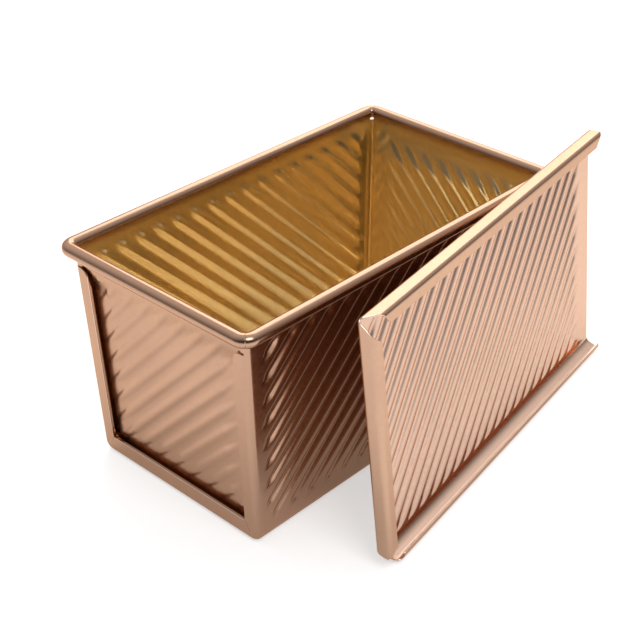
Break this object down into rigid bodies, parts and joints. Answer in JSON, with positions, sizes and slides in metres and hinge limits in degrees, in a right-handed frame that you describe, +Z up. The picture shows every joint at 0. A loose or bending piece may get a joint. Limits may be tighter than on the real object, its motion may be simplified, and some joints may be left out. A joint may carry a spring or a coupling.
{
  "type": "pullman loaf pan",
  "caption": "Rectangular corrugated metal loaf pan with a wired rim, drawn-in walls and a flat sliding lid that is taken off and leans on the rim.",
  "frame": {"origin": "on the table under the middle of the pan", "axes": "+X along the pan, away from the end that the picture shows, +Y across it, away from the lid, +Z up"},
  "size_m": [0.2486, 0.1711, 0.1258],
  "materials": {
    "coated_body": "satin champagne-gold non-stick coating on folded steel sheet",
    "coated_ends": "satin champagne-gold non-stick coating on pressed steel sheet",
    "coated_lid": "satin champagne-gold non-stick coating on folded steel sheet",
    "wire": "bare drawn steel wire, sealed in the rim"
  },
  "bodies": {
    "pan": {"body_shell": "coated_body", "end_plate_near": "coated_ends", "end_plate_far": "coated_ends", "rim_wire": "wire"},
    "lid": {"lid": "coated_lid"}
  },
  "joints": [
    {"name": "lid_slide", "type": "slide", "parent": "pan", "child": "lid", "axis": [-0.9863, -0.165, 0], "range_m": [0, 0.213]}
  ]
}
